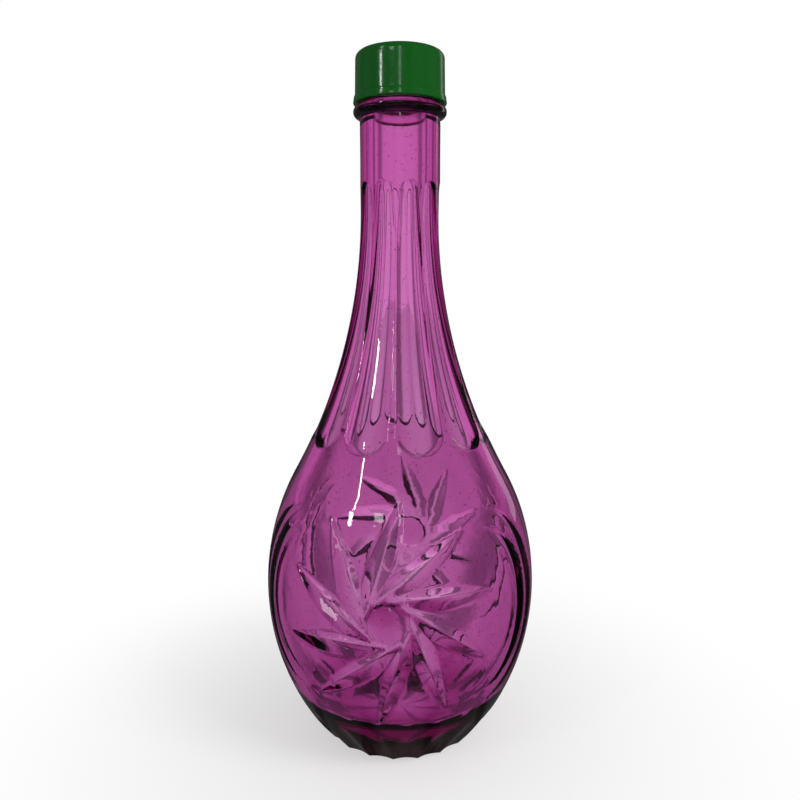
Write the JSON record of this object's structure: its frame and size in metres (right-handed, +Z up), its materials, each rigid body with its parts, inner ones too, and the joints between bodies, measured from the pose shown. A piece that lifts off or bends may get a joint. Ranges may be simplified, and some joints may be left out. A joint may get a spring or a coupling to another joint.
{
  "type": "glass bottle with screw cap",
  "caption": "Round-bellied tinted glass bottle with a long fluted neck, a moulded pinwheel star and a plastic screw cap that unscrews and lifts off.",
  "frame": {"origin": "centre of the standing ring, on the table", "axes": "+Z up along the bottle's axis to the cap; one star faces -Y and the other +Y"},
  "size_m": [0.1, 0.1016, 0.248],
  "materials": {
    "glass": "fire-polished amethyst soda-lime glass with a few seeds",
    "liner": "foamed polyethylene wad",
    "cap": "injection-moulded polypropylene, glossy"
  },
  "bodies": {
    "bottle": {"glass_bottle": "glass"},
    "liner": {"cap_liner": "liner"},
    "cap": {"screw_cap": "cap"}
  },
  "joints": [
    {"name": "cap_rise", "type": "slide", "parent": "bottle", "child": "liner", "axis": [0, 0, 1], "range_m": [0, 0.01799]},
    {"name": "cap_turn", "type": "hinge", "parent": "liner", "child": "cap", "pos_m": [0, 0, 0.2463], "axis": [0, 0, 1], "range_deg": [0, 1529.5]}
  ],
  "couplings": [
    {"joint": "cap_rise", "follows": "cap_turn", "m_per_rad": 0.00067376}
  ]
}
